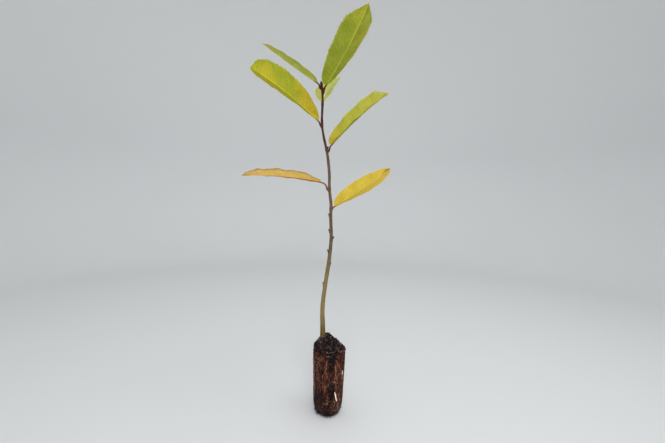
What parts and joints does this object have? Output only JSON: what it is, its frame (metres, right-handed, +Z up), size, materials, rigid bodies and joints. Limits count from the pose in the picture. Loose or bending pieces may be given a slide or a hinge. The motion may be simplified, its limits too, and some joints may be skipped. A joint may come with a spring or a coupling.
{
  "type": "sapling with root ball",
  "caption": "Young broadleaf tree sapling with toothed autumn leaves on a slender stem, standing upright on the tapered plug of roots and soil from a tray cell.",
  "frame": {"origin": "centre of the root ball's flat underside", "axes": "+Z up, along the height of the plant; -Y is the side first seen, with one bevelled corner of the root ball towards it"},
  "size_m": [0.2388, 0.2151, 0.5794],
  "materials": {
    "root_bound_soil": "matte",
    "loose_soil": "matte",
    "bark": "satin",
    "leaf_golden": "satin",
    "leaf_orange": "satin",
    "leaf_lime": "satin",
    "leaf_turning": "satin",
    "leaf_pale": "satin",
    "leaf_green": "satin",
    "leaf_olive": "satin"
  },
  "bodies": {
    "root": {"root_ball": "root_bound_soil", "soil_crown": "loose_soil", "stem": "bark", "leaf_1": "leaf_golden", "leaf_2": "leaf_orange", "leaf_3": "leaf_lime", "leaf_4": "leaf_turning", "leaf_5": "leaf_pale", "leaf_6": "leaf_green", "leaf_7": "leaf_olive"}
  },
  "joints": []
}
